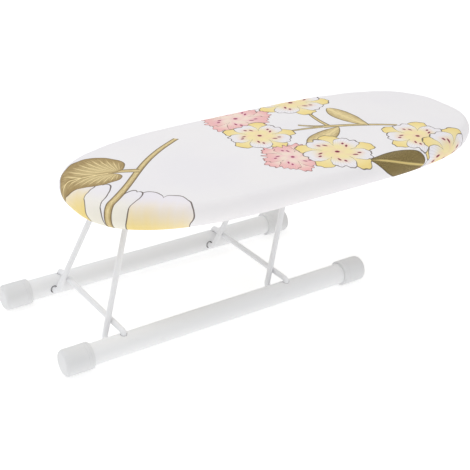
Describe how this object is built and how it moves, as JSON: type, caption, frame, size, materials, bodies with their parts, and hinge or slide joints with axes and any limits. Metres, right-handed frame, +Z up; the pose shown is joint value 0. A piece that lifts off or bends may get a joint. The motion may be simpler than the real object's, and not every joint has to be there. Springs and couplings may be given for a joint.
{
  "type": "table-top ironing board",
  "caption": "Small padded table-top ironing board with a floral cotton cover, folding wire legs and two tubular feet.",
  "frame": {"origin": "on the table, under the centre of the whole object's outline box in the open position", "axes": "+X along the board towards its free nose, +Y to the rear, +Z up"},
  "size_m": [0.542, 0.205, 0.1522],
  "materials": {
    "tube_paint": "white powder coat, satin",
    "wire_paint": "white powder coat, satin",
    "cap_plastic": "white moulded polyethylene",
    "clip_steel": "zinc plated",
    "screw_steel": "zinc plated",
    "panel_board": "white primed fibreboard",
    "pad_foam": "open-cell sponge",
    "cover_cotton": "plain-weave printed cotton",
    "elastic_cord": "covered elastic"
  },
  "bodies": {
    "base": {"foot_tube_front": "tube_paint", "foot_tube_rear": "tube_paint", "foot_cap_front_left": "cap_plastic", "foot_cap_front_right": "cap_plastic", "foot_cap_rear_left": "cap_plastic", "foot_cap_rear_right": "cap_plastic", "cross_bar_left": "wire_paint", "cross_bar_right": "wire_paint"},
    "leg_left": {"leg_wire_left": "wire_paint"},
    "leg_right": {"leg_wire_right": "wire_paint"},
    "board": {"clip_left_front": "clip_steel", "clip_left_rear": "clip_steel", "clip_right_front": "clip_steel", "clip_right_rear": "clip_steel", "clip_screws_left": "screw_steel", "clip_screws_right": "screw_steel", "board_panel": "panel_board", "foam_pad": "pad_foam", "cover": "cover_cotton", "hem_elastic": "elastic_cord"}
  },
  "joints": [
    {"name": "legs_fold", "type": "hinge", "parent": "base", "child": "leg_left", "pos_m": [-0.2175, 0, 0.0131], "axis": [0, 1, 0], "range_deg": [-104, 0]},
    {"name": "right_leg_fold", "type": "hinge", "parent": "base", "child": "leg_right", "pos_m": [-0.0235, 0, 0.0131], "axis": [0, 1, 0], "range_deg": [-104, 0]},
    {"name": "board_swing", "type": "hinge", "parent": "leg_left", "child": "board", "pos_m": [-0.17437, 0, 0.12545], "axis": [0, 1, 0], "range_deg": [0, 104]}
  ],
  "couplings": [
    {"joint": "right_leg_fold", "follows": "legs_fold", "ratio": 1},
    {"joint": "board_swing", "follows": "legs_fold", "ratio": -1}
  ]
}
